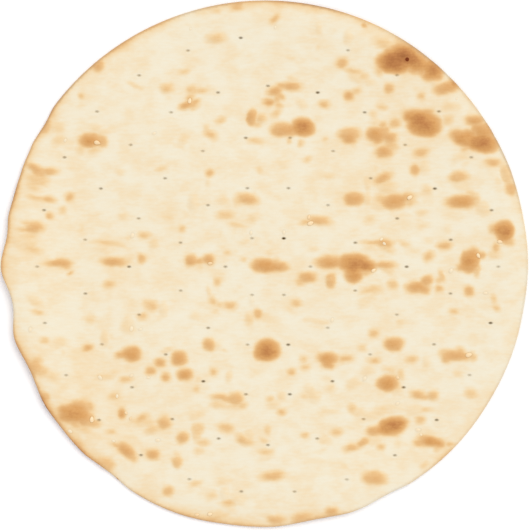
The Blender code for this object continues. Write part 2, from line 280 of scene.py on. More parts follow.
def docker_holes():
    """Each hole as (x, y, how far open it stayed from 0 to 1)."""
    rng = random.Random(HOLE_DRAW)
    holes = []
    for ring, (count, first, radius_y, radius_x) in enumerate(DOCKER_RINGS):
        for k in range(count):
            open_share = OPEN_HOLES.get((ring, k), rng.uniform(0.28, 0.5))
            if (ring, k) in CLOSED_HOLES:
                continue
            angle = math.radians(first + 360 * k / count)
            radius = radius_y + (radius_x - radius_y) * math.cos(angle) ** 2
            radius += DOCKER_PULL * (radius / RADIUS) ** 2 * math.sin(angle)
            angle += DOCKER_SHIFT * math.sin(2 * angle)
            x = DOCKER_CENTRE[0] + radius * math.cos(angle)
            y = DOCKER_CENTRE[1] + radius * math.sin(angle)
            holes.append((x, y, open_share))
    return holes


HOLES = docker_holes()
print(len(HOLES), "docking holes")


def holes_near(x, y):
    """For each hole: which points are near it, how far off they are (1 at its edge), and how open it is."""
    for hole_x, hole_y, open_share in HOLES:
        near = np.abs(x - hole_x) + np.abs(y - hole_y) < PIT_REACH
        dx, dy = x[near] - hole_x, y[near] - hole_y
        yield near, ellipse_distance(dx, dy, PIT_HALF_LENGTH, PIT_HALF_WIDTH), open_share


# %% [markdown]
# ## The blisters and toasted spots
#
# Where steam could not get out, the dough lifted into low blisters, and their tops were nearest to the
# oven's roof, so they browned most. The large ones are placed one by one: where, how long, how wide, how
# far they toasted and which way they lie. Smaller toasted spots have a list of their own, and a seeded
# rule adds the faint freckles between them, more of them on the right, where the oven was hotter.


# %% Blisters placed one by one
class Spot(NamedTuple):
    """A blister or a toasted spot, in millimetres. The toast is 0 to 1, and the tilt is in degrees."""

    x: float
    y: float
    half_length: float
    half_width: float
    toast: float
    tilt: float = 0


BLISTERS = [Spot(*row) for row in (
    # back left
    (-101, 71.1, 6.7, 4, 0.72), (-134, 56, 5, 2.2, 0.5, -20), (-125, 53.3, 6, 2.2, 0.45, 5),
    (-133, 21, 5.5, 3.2, 0.45), (-119.5, 0.4, 7, 1.8, 0.52), (-87, 1.2, 6.8, 2.4, 0.55, -3),
    (-42.8, 1.8, 3.5, 3, 0.57), (-32.3, 2.5, 3.5, 2.8, 0.52), (-10.5, 37.7, 6.5, 3, 0.5, -10),
    (-45, 91.5, 4.5, 2, 0.6, 20), (-96, 114.5, 3.5, 3, 0.5, 40), (-57, 101.2, 3.5, 2.6, 0.38),
    (-28.5, 130.5, 6, 2.8, 0.28, 5),
    # back middle
    (21.8, 79, 6.2, 5.2, 0.85, -5), (10, 77.7, 6.8, 4, 0.6), (49, 75.3, 6.5, 3.8, 0.53),
    (49.1, 72.8, 3.9, 2.8, 0.6), (-7.5, 85, 2.8, 5, 0.55), (-2, 84, 3, 2.6, 0.3),
    (15.5, 102.8, 5.2, 2.3, 0.5), (5.5, 100, 4.5, 2.4, 0.55, 15),
    # back right
    (75, 116.5, 10.2, 6, 1.0), (81.5, 120.5, 9.2, 5.2, 0.9, -30), (89, 116, 6, 5, 0.78, -30),
    (97.2, 112.4, 6.6, 5.1, 0.8, -45), (105, 101.7, 7, 3.4, 0.6, 15), (92.2, 80.3, 9.7, 6.8, 0.92, -8),
    (88, 85.5, 8, 3.5, 0.6), (64.5, 75, 5.5, 4.3, 0.66), (72.5, 73, 4.5, 3, 0.54, -10),
    (68.8, 64.9, 5.1, 3.2, 0.5), (126, 69.8, 9.3, 5.2, 0.93, -8), (115, 72.4, 7.8, 4, 0.7, -22),
    (121.5, 83.2, 5.5, 2.7, 0.66), (127.5, 76, 5.5, 6, 0.68), (112.3, 50.3, 5.4, 3.2, 0.42, 15),
    (68.5, 49.5, 5, 2.3, 0.45, 25), (51.5, 37.6, 5.5, 3.8, 0.6), (75, 35.7, 7.5, 4.2, 0.65, 3),
    (81.5, 38, 5, 2, 0.52, 20), (114.3, 36, 8.2, 3.7, 0.65), (32, 24.8, 6, 2.4, 0.5, -8),
    (139, 19, 4.9, 6.2, 0.82), (133.5, 20, 3.5, 2.5, 0.46), (69.5, 11.7, 4.5, 2.2, 0.52, -10),
    (119, 1.5, 5.5, 7.2, 0.75, -25), (113.8, -2, 2.8, 2.2, 0.48),
    # middle
    (52, 0.5, 9.2, 5.6, 0.88), (51, -6, 5.5, 5, 0.75), (37.5, 1, 8.5, 3.3, 0.62, 3),
    (59.5, -1.2, 5.2, 3.4, 0.88), (69, -0.8, 6.5, 1.8, 0.55), (0.3, -1.1, 8.3, 3.9, 0.74, -4),
    (9, -1.5, 5, 2.8, 0.6),
    # front left
    (-77, -52.2, 5.3, 4.3, 0.72, 10), (-82.5, -53, 3.7, 1.8, 0.52, 5), (-32, -46.8, 3.6, 3.8, 0.5),
    (1.3, -50.2, 7.6, 6.3, 0.92, 12), (-49.9, -55, 4.3, 4.1, 0.65), (-46.3, -64, 4.5, 3.3, 0.7, 5),
    (-16.5, -78, 4.5, 4, 0.42), (-26, -77, 6, 1.9, 0.48), (-110.5, -86.5, 9, 5.8, 0.75),
    (-107, -82, 5.2, 3.2, 0.51), (-103, -90, 4.5, 4.5, 0.5), (-58.5, -92, 4, 3.4, 0.44, 20),
    (-65, -96, 5, 2.1, 0.26, 25), (-79.5, -108.5, 6, 3, 0.63, -40), (-64.6, -110.5, 3.4, 3.1, 0.48),
    (-133, -60, 4.5, 4, 0.45, -50), (-93, -116, 5, 3.5, 0.25, -35), (-47.5, -100.6, 3.6, 3.2, 0.48),
    (-50.8, -115, 2.8, 3.8, 0.38, 10), (-12, -102, 4.8, 2.6, 0.4, -25),
    # front right
    (24.5, -7.7, 4.9, 3, 0.55), (37.9, -9.9, 2.6, 4.2, 0.43), (88.5, -13.5, 7, 3.2, 0.6),
    (94, -9.8, 3.3, 3, 0.6, 35), (75, -46.5, 5.8, 4, 0.66), (36.3, -54.6, 5.7, 3.1, 0.64),
    (36.5, -58, 3.5, 2.8, 0.55), (110.5, -53, 8.5, 3, 0.6, -3), (105, -54.7, 2.6, 2.8, 0.45),
    (71.4, -69.2, 6.1, 4.5, 0.73), (88.5, -75.7, 4.6, 2.4, 0.46, -5), (97.5, -76.3, 3.2, 2.8, 0.37),
    (74, -93.9, 8.8, 4.6, 0.86, 12), (63.5, -96.5, 4.6, 3, 0.55, 10), (96.2, -103, 6.9, 3.1, 0.72, -10),
    (50, -106.3, 4.6, 1.9, 0.42, 5), (57, -103.5, 4.2, 1.8, 0.48, 30), (63, -124, 7.5, 3.9, 0.46),
    (39, -143.1, 4, 2.4, 0.5, 5), (21.5, -147, 6.5, 2.7, 0.42, 8), (6.5, -148, 5.5, 2.6, 0.45),
    (4.5, -122.8, 7, 2.2, 0.43, 8),
)]
print(len(BLISTERS), "blisters")

# %% Toasted spots placed one by one
SPOTS = [Spot(*row) for row in (
    # back left
    (-106, 96.7, 1.8, 1.6, 0.35), (-121, 79, 5, 3, 0.23), (-127, 79.5, 3, 5, 0.36, -30),
    (-119, 72, 3.5, 2.5, 0.15, 20), (-94, 71, 3, 4, 0.44), (-130, 52, 4, 2.5, 0.35),
    (-132, 48.5, 7, 3.7, 0.3, -10), (-131, 38, 7.5, 1.3, 0.29, -12), (-125, 37.3, 4, 1.7, 0.42),
    (-113, 39, 2.3, 2.3, 0.42), (-124.2, 27.5, 1.8, 2, 0.42), (-116.5, 31, 2, 2, 0.27),
    (-138, 19.8, 6, 1.3, 0.35), (-137, 23.5, 4, 1, 0.3, -5), (-134, 8.3, 5, 1.7, 0.22, -25),
    (-137, 12, 5, 4, 0.13), (-115.5, -0.6, 3.6, 2.2, 0.42), (-113, -5.3, 1.8, 0.7, 0.4, 20),
    (-93, 12, 8, 1, 0.24, -4), (-84, 10.7, 3.5, 0.9, 0.12, -15), (-95, 9, 6, 3, 0.1),
    (-71.5, 3, 2.5, 2.8, 0.42), (-70, 16.5, 3.5, 2, 0.32), (-48, 20, 1.8, 1.6, 0.29),
    (-38, 1.3, 4, 1.8, 0.43), (-21.7, 6.5, 1.8, 1.4, 0.2), (-12.5, 2.5, 1.8, 1.2, 0.25),
    (-24.5, 36.5, 3, 2.5, 0.13), (-23.5, 28, 5, 2.3, 0.3), (-17, 22.5, 5, 1.3, 0.18, -15),
    (-6, 26.5, 3.5, 2.5, 0.17, 30), (-41.5, 35, 3, 6, 0.1), (-31.5, 52.5, 2.5, 1.9, 0.37, 20),
    (-33, 48, 1.5, 3, 0.07), (-31, 74.5, 3.6, 2, 0.4, -15), (-33.5, 78, 1.6, 2.5, 0.24),
    (-5.5, 71.2, 4.5, 1.8, 0.33), (-25.5, 83, 3, 2, 0.34, 20), (-40, 93.5, 2.6, 1.6, 0.48, 30),
    (-42.5, 100.5, 3, 3, 0.27), (-38.5, 100.3, 6, 1.5, 0.32), (-47, 111, 3.6, 1.3, 0.24, 10),
    (-75, 103, 4.6, 1.3, 0.24, -25), (-59.5, 55, 3.5, 1.3, 0.22, 20), (-16, 149, 3.6, 2.4, 0.45),
    (-28, 146.5, 3, 1.6, 0.27), (-98.6, 65.3, 4, 2, 0.28, 8), (-131, 54, 4, 2.4, 0.42, -10),
    (-43, 96, 2.5, 3, 0.36), (-41, 91.4, 3, 2.4, 0.4, 20), (-82.4, 27.5, 3.2, 2, 0.18),
    (-134.5, 44.8, 5, 2.5, 0.26, -22), (-64.5, 11.5, 2.6, 3.4, 0.16), (-84, 53, 3, 2, 0.17, -25),
    (-93, 76, 5, 2, 0.17, 10), (-97.5, 78.3, 4, 2.5, 0.15), (-138, 16, 5, 2.4, 0.2, 14),
    (-47.5, 71.5, 4, 2.6, 0.16, 40), (-50.5, 11.5, 3, 1.6, 0.1), (-143, 13, 3.5, 3, 0.18),
    (-16, 36.5, 2.6, 2.6, 0.26), (-12, 12.8, 4, 2, 0.14, 20), (-106, 65.8, 3, 2.4, 0.2),
    # back middle
    (6.5, 141.4, 3.4, 1.9, 0.4, 40), (9, 97, 2.9, 1.9, 0.45, -35), (2, 93.5, 3.4, 1.8, 0.55, -5),
    (7.5, 91.3, 2.5, 2, 0.34, -45), (6.5, 87.3, 3.3, 2, 0.28, 45), (34.5, 92.3, 3, 2.3, 0.38),
    (44.7, 115.7, 3.2, 2.6, 0.4, 35), (52, 111.3, 6, 1.5, 0.32, -12), (57, 108.5, 2.6, 2.4, 0.3),
    (49, 97.3, 2.8, 2.6, 0.5), (53, 100.2, 3.6, 1.7, 0.3, 20), (15.5, 119, 3, 1.4, 0.14),
    (9.5, 103, 3.5, 1.5, 0.45), (31, 136, 2, 4, 0.12), (14.5, 71.5, 1.4, 1.6, 0.3),
    (21, 69.7, 1.7, 2, 0.35, -30), (25, 60.5, 2.4, 1.5, 0.22, 20), (35, 72.5, 1.7, 1.5, 0.2),
    (24, 23.8, 4, 1.6, 0.3, 10), (28.5, 8.5, 3, 1.5, 0.16), (-4.3, 80.6, 2.4, 1.8, 0.32),
    (6.8, 96.5, 1.8, 4, 0.38), (53, 107.5, 5, 3, 0.2, -28), (11, 57.7, 5.5, 2.4, 0.12, 5),
    (36.5, 50.4, 5, 1.6, 0.15, -10), (48, 131, 3, 4.5, 0.15), (21, 92.5, 4, 2.6, 0.17, -60),
    (7, 1.6, 3, 1.6, 0.38), (15.8, 107.2, 3, 1.8, 0.16, -24), (15.8, 77, 3.5, 3.5, 0.55),
    # back right
    (58, 137.5, 1.6, 1.1, 0.52), (70, 127, 8, 3, 0.22, -20), (72, 101.6, 3, 2.9, 0.4),
    (90.2, 97, 2, 2, 0.33), (86, 123, 13, 6, 0.48, -38), (109, 104, 3, 2.2, 0.66, -45),
    (73, 122, 4, 3, 0.6, 20), (123, 78, 3.6, 4, 0.6), (118, 75, 4.6, 2.6, 0.62, 5),
    (68, 90.5, 2.6, 1.4, 0.27, -10), (75, 81.3, 3.6, 2.7, 0.38), (68, 81, 2.4, 2, 0.36),
    (98, 105, 2.4, 4, 0.12, 20), (62.5, 86, 1.6, 2, 0.2), (105.5, 83, 3, 2.5, 0.28),
    (90, 64, 4.5, 2.3, 0.45, 5), (87, 54, 2.7, 2.8, 0.55, 45), (132.5, 59, 5, 2.2, 0.45),
    (71, 44, 6, 4, 0.14), (142.3, 43, 3.3, 3.4, 0.45), (140, 52, 3, 7, 0.33, 15),
    (63, 12.3, 7, 1.4, 0.4, 3), (80.5, 11, 3, 1.6, 0.2, -20), (104, 10.5, 4.3, 2.4, 0.45),
    (95, 4.5, 3.4, 2.6, 0.4, 20), (134, 9, 2, 3.3, 0.34, -10), (125.5, 5, 2.6, 2.6, 0.52),
    (68, 37, 4.5, 3, 0.34, -10), (91, 30, 3.5, 1.8, 0.21), (61, 26.5, 3, 1.8, 0.18),
    (105.5, 20, 2, 2, 0.1), (121.5, 6.3, 3.6, 3.2, 0.58, -20), (94.2, 43, 3.6, 2.6, 0.22, -20),
    (72.5, 69.5, 4.6, 3.2, 0.35, -35), (84.5, 36, 3.6, 3, 0.34, 40), (111.5, 61.3, 4.5, 3.2, 0.12, 30),
    (122.6, 37.2, 2.8, 4, 0.28), (91.5, 109.6, 5, 2, 0.38, -29), (107.5, 90.8, 5, 1.5, 0.17, -3),
    (66, 111.4, 2.8, 2.6, 0.32, 45), (94, 87, 2.8, 2.2, 0.5), (83.5, 85.3, 3.4, 3.2, 0.58),
    (115.8, 67, 3, 1.6, 0.26, 30), (142.4, 12.6, 2.2, 2.2, 0.34), (66.2, 33.8, 5, 3, 0.18, -20),
    (132.8, 5, 4, 2.6, 0.2), (69.5, 76.5, 3, 4, 0.44), (63.8, 82, 3, 2.6, 0.16), (92.5, 55.5, 3, 4, 0.12),
    (112.5, 44.5, 4.5, 2, 0.15, -19), (85.5, 112.4, 4.5, 2, 0.42, -17), (93.8, 109, 3.4, 2.8, 0.62, -35),
    (119.6, 40.6, 3.4, 1.6, 0.26, -20), (59, 37.5, 3, 4, 0.16), (66, 71.5, 4, 2, 0.42, 10),
    (126.6, 32, 4, 4.5, 0.15), (139.8, 12.8, 2.2, 1.8, 0.36, -40), (135, 19.8, 2.2, 3.4, 0.7),
    (60, 105, 5, 2.4, 0.15, -26), (61, 9.7, 4.5, 2.4, 0.15), (71, 8.3, 4, 2.6, 0.24, -17),
    (59.4, 45.8, 2, 3.4, 0.15),
    # front left
    (-90, -12, 3.3, 2.2, 0.38), (-27, -10.2, 2.2, 2.6, 0.3, 10), (-32.5, -16, 1.4, 3.6, 0.16, 10),
    (-29.5, -21, 2.8, 2, 0.3, -45), (-25.5, -23.5, 2, 1.4, 0.26), (-20.5, -24, 4, 2.2, 0.38, -5),
    (-65.5, -24, 4.2, 3, 0.32, -15), (-71, -30.7, 3, 1.9, 0.31, 25), (-131, -28, 4.6, 1.4, 0.28, -10),
    (-4.5, -29.2, 2.7, 2.7, 0.43), (-127, -44.3, 2.2, 1.9, 0.3), (-102.5, -48.6, 3, 1.9, 0.48, 20),
    (-61, -57.2, 3, 2.4, 0.55), (-66.2, -62.3, 2.5, 2.4, 0.46), (-57.3, -66, 2.8, 2.5, 0.51),
    (-29.5, -62.5, 2.2, 2, 0.32), (-80.5, -67, 3.4, 1.6, 0.37), (-87.5, -63, 3, 1.8, 0.14),
    (-123, -65, 6, 2.5, 0.12, -15), (-127.8, -77.3, 3.2, 3, 0.48, -40), (-98.5, -93, 3.6, 2, 0.42),
    (-82.8, -86.8, 2.3, 3, 0.6, 10), (-87.5, -77.3, 2.4, 1.8, 0.25), (-71, -89.5, 4, 2.3, 0.38, 25),
    (-76, -91, 2.2, 2, 0.16), (-89, -97.5, 3, 1.4, 0.32), (-39, -95.5, 3.2, 3.5, 0.3),
    (-22.5, -95, 5, 2.4, 0.32, -15), (-36, -103.5, 4, 1.8, 0.32), (-38, -108, 3, 2, 0.19),
    (-85.5, -105, 3.4, 1.3, 0.32, -15), (-51, -110.5, 1.8, 2, 0.2), (-56.3, -131, 3.3, 2.8, 0.42, 10),
    (-39.5, -127, 3.6, 1.6, 0.28, 15), (-30, -134, 3.5, 2, 0.15), (-21, -139, 4, 2, 0.38),
    (-40, -72.5, 1.8, 1.7, 0.22), (2, -96.5, 1.6, 2.6, 0.22), (0, -102, 2.2, 1.3, 0.22),
    (1.2, -109, 4.5, 1.9, 0.3), (-27, -146, 8, 3.5, 0.2, -12), (-40, -98.5, 2.6, 4.5, 0.27, 10),
    (-19, -82.6, 6, 2.2, 0.2), (-26.5, -81.8, 5.5, 2.6, 0.27), (-21, -78.2, 5, 2.2, 0.42),
    (-13, -82, 3, 2, 0.32), (-104.5, -96, 5, 2.4, 0.25, -21), (-107, -105, 4, 2, 0.28, -45),
    (-75.5, -113, 2.4, 1.8, 0.36, -45), (-90.5, -116, 3.6, 3, 0.36, -35),
    (-40.5, -88.2, 4.5, 2.8, 0.2, 10), (-129, -62.3, 3.6, 2.8, 0.35), (-80.5, -52.6, 3.4, 2.2, 0.55, 8),
    (-21, -65.5, 2.2, 3.4, 0.18), (-101.4, -32.3, 2.8, 2, 0.2, -30), (-118.8, -45.6, 5.5, 2.6, 0.19, -4),
    (-92.6, -43.5, 2.6, 4.5, 0.19), (-101.3, -82.7, 3, 2.4, 0.42, -28), (-110, -92.6, 4, 2, 0.32, -32),
    (-27.4, -47, 3.2, 3, 0.12), (-15.5, -137.2, 5.5, 3.2, 0.13, -16), (-79.3, -33, 3, 3.4, 0.15),
    (-92.5, -65.4, 6, 1.7, 0.22), (-133, -21.2, 5, 3, 0.17, -40), (-9, -31.7, 2.4, 4, 0.2),
    (-8.9, -99.6, 2.4, 3, 0.18), (-68.5, -92, 6, 2.6, 0.18, 5), (-41.3, -30.2, 3, 2.6, 0.14),
    (-58.8, -26.3, 2.6, 5, 0.15), (-131.5, -55.8, 2.8, 3, 0.24), (-56, -50, 5, 1.6, 0.18, 10),
    (-80, -37.5, 5, 3.2, 0.18, -40), (-24, -126, 5, 2.6, 0.15, 20), (-20, -142.6, 5, 2, 0.14, -16),
    (-23.4, -133.2, 3, 5, 0.12), (-7.7, -20.9, 1.8, 3.4, 0.08),
    # front right
    (20.5, -10.7, 2.6, 1.7, 0.3), (60.5, -15.5, 5.6, 1.8, 0.3, 15), (74, -11.8, 2.5, 2.5, 0.38),
    (101, -14.5, 2.4, 2.1, 0.42), (102.3, -7, 1.7, 4, 0.35, 20), (118, -16, 2.6, 2.8, 0.5),
    (132, -20.5, 1.8, 2.7, 0.26), (134, -25.5, 2.6, 1.6, 0.35, -30), (109, -27.7, 2.3, 1.8, 0.32),
    (18.5, -22.5, 2.8, 2.2, 0.28), (30, -33.5, 7, 1.3, 0.12, -8), (78.5, -34, 2, 1.6, 0.15),
    (62.8, -40, 3, 2.5, 0.34, 10), (56, -49, 2.4, 1.8, 0.22), (47, -55, 4, 1.8, 0.34),
    (63, -56, 3.6, 1.9, 0.36, 5), (85.5, -55, 3.4, 1.9, 0.36, 8), (113, -50.5, 3, 2.5, 0.4),
    (15.7, -62.3, 2.4, 1.9, 0.38), (22, -55.5, 2.2, 1.8, 0.27), (24, -60.3, 2.4, 1.8, 0.27),
    (119, -75, 3.6, 2.8, 0.27), (93, -77, 3, 1.7, 0.34), (93, -84.5, 3.6, 1.5, 0.3, 10),
    (90, -90.5, 2.8, 2.4, 0.36), (51, -84, 2.6, 3, 0.31), (9.8, -85.7, 2.6, 2.1, 0.4),
    (41.5, -97.7, 3, 2.3, 0.36), (23, -99, 2.3, 1.6, 0.35), (67, -106, 2.4, 1.9, 0.4),
    (107, -104.5, 3, 1.4, 0.32, -10), (89.2, -103.4, 3.4, 1.8, 0.46), (92, -117, 3, 1.8, 0.25, 40),
    (3, -78.5, 1.9, 1.6, 0.3), (23.5, -76.5, 2.5, 1.5, 0.17), (99.6, -106.6, 2.4, 2.2, 0.36, 40),
    (101, -104.3, 3, 2.2, 0.6, -10), (92.6, -15.4, 3, 2.6, 0.5), (123, -3.8, 2, 4.4, 0.34),
    (67.5, -96, 4, 2.8, 0.6, 12), (79.8, -92.6, 3, 2, 0.66, 20), (74.5, -98.4, 3, 1.3, 0.4),
    (37.7, -71.9, 3, 2.2, 0.19, 22), (51.2, -69.5, 5, 3, 0.2, 33), (61, -87.7, 6.5, 2.6, 0.18, 4),
    (66.7, -85.5, 5, 3, 0.18, 18), (9.5, -77, 3, 3, 0.18), (5.5, -81.2, 4, 2.6, 0.17),
    (86.8, -84.8, 6.5, 3.4, 0.17, -9), (76.2, -84.3, 7, 2.8, 0.14), (54.8, -86, 4, 2.6, 0.2, -8),
    (120.3, -53.4, 1.9, 3, 0.34), (64.8, -15.7, 5, 2, 0.24, 25), (100.5, -9.4, 2.2, 2.2, 0.32, 33),
    (59.6, -61.8, 5, 3, 0.17, 20), (34.5, -102.3, 4, 2, 0.17, -6), (28.8, -77.5, 4, 4, 0.15),
    (79.2, -64.6, 2, 3, 0.24), (58.5, -4.5, 4, 2.6, 0.42, 30), (1, -112, 6, 2, 0.16, 14),
    (71.5, -61.8, 5, 2, 0.22, -20), (76.5, -73, 4, 3, 0.2), (56, -23, 4, 3, 0.14, 45),
    (93.3, -56.3, 2.4, 3.4, 0.15), (25.8, -72.5, 4, 3, 0.13, -45), (60.2, -18.6, 6, 2.4, 0.12, 30),
    (101.5, -92.2, 4.5, 3, 0.08, -22), (71, -3.2, 5, 2.6, 0.2, -27), (64, -102.3, 5, 2.6, 0.18, 26),
    (37.5, -85.5, 6, 1.8, 0.17, -4),
)]
# two bubble tops charred right through, each as (x, y, radius) in millimetres
CHARRED = ((82.2, 118, 1.35), (-85.6, -124.5, 0.6))
print(len(SPOTS), "toasted spots")


# %% Faint freckles by a rule
FRECKLES = 150
FRECKLE_DRAW = 5949


def freckle_spots():
    """Small faint spots, drawn out along X, a little more often on the right."""
    rng = random.Random(FRECKLE_DRAW)
    spots = []
    while len(spots) < FRECKLES:
        x, y = rng.uniform(-150, 150), rng.uniform(-150, 150)
        if math.hypot(x, y) > 148 or rng.random() > 0.75 + 0.25 * x / 150:
            continue
        half_length = rng.uniform(1.0, 4.5)
        half_width = rng.uniform(0.8, 2.0)
        toast = 0.03 + 0.12 * rng.random() ** 2
        spots.append(Spot(x, y, half_length, half_width, toast, tilt=rng.uniform(-25, 25)))
    return spots


# %% [markdown]
# ### How high a blister stands and how brown it is
#
# Every blister is an ellipse seen from above. The rise is a round hill over its field, and where two
# blisters meet, the square root of the summed squares blends them instead of stacking them. The toast has
# slightly squarer shoulders and fades over about three millimetres at the edge. Before it is measured,
# every point is nudged by mottling, which makes the brown outlines as ragged as real ones. A few broad
# places are a little warmer or paler than the rest, as the hearth wasn't equally hot everywhere.

# %% Rise and toast
RISE_LEAST = 0.3 * MM
RISE_SHARE = 0.17  # of a blister's half-width
BLISTER_SKIRT = 1.0 * MM  # the dough around a blister lifts with it
SPOT_RISE_SHARE = 0.09
EDGE_FADE = 3.4 * MM
HALO_SKIRT = 3.0 * MM
SHOULDERS = 2.3  # 2 is an ellipse, and more is squarer
BURNT = 1.4  # the toast of charred dough
# (x, y, reach) in millimetres and the toast, which is less than 0 where the place stayed paler
WARM_PLACES = (
    (-100, -90, 60, 0.08), (-130, 10, 55, 0.05), (-75, 10, 45, 0.03), (95, 90, 50, 0.05),
    (60, 45, 50, 0.04), (-90, -30, 45, 0.02), (70, -135, 45, -0.04), (15, 138, 35, -0.03),
    (20, 5, 25, -0.02), (-118, -9, 22, -0.05), (-130, 30, 12, -0.05), (-92, -72, 9, -0.06),
)


def spot_distance(x, y, spot, skirt=0.0, shoulders=2.0):
    """0 in the middle of a blister or spot and 1 at its edge, which the skirt widens."""
    half_length, half_width = spot.half_length * MM + skirt, spot.half_width * MM + skirt
    dx, dy = x - spot.x * MM, y - spot.y * MM
    return ellipse_distance(dx, dy, half_length, half_width, math.radians(spot.tilt), shoulders)


def blister_rise(x, y):
    squares = np.zeros_like(x)
    for blister in BLISTERS:
        rise = RISE_LEAST + RISE_SHARE * blister.half_width * MM
        squares += (rise * bump(spot_distance(x, y, blister, BLISTER_SKIRT))) ** 2
    for spot in SPOTS:
        rise = SPOT_RISE_SHARE * spot.half_width * MM
        squares += (rise * bump(spot_distance(x, y, spot, 0.5 * BLISTER_SKIRT))) ** 2
    return np.sqrt(squares)


def spot_toast(x, y, spot):
    """A faint halo, a soft-edged spot in it and a browner core in that."""
    half_width = spot.half_width * MM
    fade = min(EDGE_FADE, 1.5 * half_width)
    away = spot_distance(x, y, spot, shoulders=SHOULDERS)
    inside = soft_step(0.55 - (away - 1) * half_width / fade)
    halo = bump(spot_distance(x, y, spot, HALO_SKIRT, SHOULDERS))
    return spot.toast * (0.2 * halo + inside * (0.6 + 0.2 * bump(0.95 * away)))


def oven_warmth(x, y):
    """The slow part of the browning: a few broad places where the hearth was a little hotter."""
    warmth = np.zeros_like(x)
    for centre_x, centre_y, reach, toast in WARM_PLACES:
        warmth += toast * bump(np.hypot(x - centre_x * MM, y - centre_y * MM) / (reach * MM))
    return warmth


def toast_map(x, y):
    """How brown the top is at each point, from 0 to 1."""
    warped_x = x + (0.7 * mottle(x, y, 7 * MM, 21) + 0.35 * mottle(x, y, 2.6 * MM, 22)) * MM
    warped_y = y + (0.5 * mottle(x, y, 7 * MM, 23) + 0.3 * mottle(x, y, 2.6 * MM, 24)) * MM
    powers = np.zeros_like(x)
    for spot in (*BLISTERS, *SPOTS, *freckle_spots()):
        powers += spot_toast(warped_x, warped_y, spot) ** 4
    toast = powers ** (1 / 4)
    toast = toast + oven_warmth(x, y) * (1 - np.clip(toast, 0, 1))
    for centre_x, centre_y, radius in CHARRED:
        away = np.hypot(x - centre_x * MM, y - centre_y * MM) / (radius * MM)
        toast = np.maximum(toast, BURNT * (1 - soft_step(away, 0.6, 1.3)))
    return toast


# %% [markdown]
# ### The toasted rim
#
# The edge is the thinnest and driest part. It browns in a narrow line, with a tan glow behind it that
# fades over a few millimetres. Its very lip gets painted shade, a duller, greyer brown where the edge
# rounds over out of the light. How strong each is changes round the bread, and they are written as
# features round the rim again.

# %% Rim toasting and the painted shade on its lip
RIM_LINES = (
    (82, 0.4, 11), (95, 0.1, 10), (114, 0.2, 10), (137, 0.2, 9), (156, 0.1, 6), (165, 0.2, 9),
    (196, 0.3, 7), (213, 0.35, 7), (225, 0.2, 9), (246, 0.1, 16), (275, 0.1, 20),
)
RIM_GLOWS = (
    (9, 0.12, 8), (21, 0.2, 8), (39, 0.2, 6), (75, 0.5, 20), (96, 0.45, 15), (118, 0.45, 12),
    (129, 0.5, 10), (147, 0.6, 15), (164, 0.6, 12), (178, 0.55, 12), (201, 0.65, 10), (213, 0.65, 10),
    (226, 0.65, 12), (258, 0.45, 28), (284, 0.35, 9), (312, 0.28, 10), (327, 0.12, 8),
)
# how strongly painted shade greys the lip, round the rim
RIM_LIP_SHADES = (
    (25, 0.3, 18), (52, 0.35, 18), (80, 0.4, 15), (104, 0.27, 18), (122, 0.15, 10), (140, 0.3, 20),
    (165, 0.18, 14), (210, 0.1, 30), (250, 0.1, 25), (282, 0.1, 15), (306, 0.08, 14), (330, 0.1, 16),
    (354, 0.1, 14),
)
RIM_LINE = 1.1 * MM
RIM_LIP = 1.6 * MM
RIM_GLOW = 2.6 * MM


def rim_toast(x, y):
    inward = np.clip(rim_distance(x, y), 0, None)
    angle = np.arctan2(y, x)
    line = (0.05 + around_rim(RIM_LINES, angle)) * np.exp(-inward / RIM_LINE)
    reach = RIM_GLOW * (1.0 + 0.35 * mottle(x, y, 7 * MM, 32))
    return line + around_rim(RIM_GLOWS, angle) * np.exp(-inward / reach)


# painted shade on the very edge, where the rim rounds over out of the light
def lip_shade(x, y):
    across = soft_step(rim_distance(x, y), 0.3 * RIM_LIP, RIM_LIP)
    return (0.07 + around_rim(RIM_LIP_SHADES, np.arctan2(y, x))) * (1 - across)


# %% [markdown]
# ## The sesame seeds' places
#
# Some seeds stand proud on the crust, and the others were rolled into the sheet, so that little more than
# their outline shows. They are placed one by one and tilted with the crust. Their places come first, because
# the crust's mesh needs small triangles round each seed, where the dough closed in on it.

# %% Seed places
SEED_LENGTH = 3.8 * MM
SEED_WIDTH = 2.5 * MM
SEED_HEIGHT = 1.0 * MM
SEED_PROUD = 0.1 * MM
SEED_PRESSED = -0.25 * MM
# (x, y) in millimetres, the way the seed points in degrees, and its size
SEEDS_ON_TOP = (
    (-97, 70, -15, 1.0), (-43.5, 94.3, 80, 0.9), (26.4, 23.4, 25, 1.0), (25.5, 27, 80, 0.7),
    (84, 38.4, 30, 0.95), (136, 12.7, -5, 0.85), (123.6, 4.6, -60, 0.85), (118, -52.8, 15, 1.05),
    (-100, -90, 90, 0.95), (-80.3, -86.5, -40, 0.6), (-77.8, -89.6, 60, 0.55), (-39.3, -145.4, 10, 0.7),
    (-31.8, -145, 10, 0.8), (-31.6, 0.2, 10, 0.75), (63, -3.8, 35, 0.8), (77, -66, -30, 0.65),
)
SEEDS_ROLLED_IN = (
    (-115.5, 71.5, 60, 0.7), (-64, 75.5, 30, 0.75), (-43, 136, 70, 0.55), (111, 95.5, 70, 0.5),
    (-76.8, 16.5, 75, 0.95), (-135.5, -38, 80, 0.9), (-77.2, -37.5, 80, 0.95), (-72, -38, 20, 0.75),
    (-8, 18, 80, 0.8), (11, 18.2, 85, 0.8), (39, -32.5, 70, 0.8), (107.8, -4, 60, 0.95),
    (127.7, -17, 0, 0.8), (-95.3, -66, -45, 0.9), (-67.5, -66, 0, 0.65), (-77.2, -64.8, 20, 0.75),
    (-85.5, -76.5, 80, 0.75), (-87.5, -102.6, -20, 0.6), (-62, -102.3, 10, 0.9), (57.8, -66.5, 60, 0.95),
    (76.8, -81, 35, 0.8), (88.8, -96.3, 10, 0.95), (90.5, -99, -30, 0.6), (-112.5, -97, -35, 0.85),
    (6, 136.8, 80, 0.65), (69.2, 11.6, -40, 0.65), (67.6, 14.3, 60, 0.7),
)
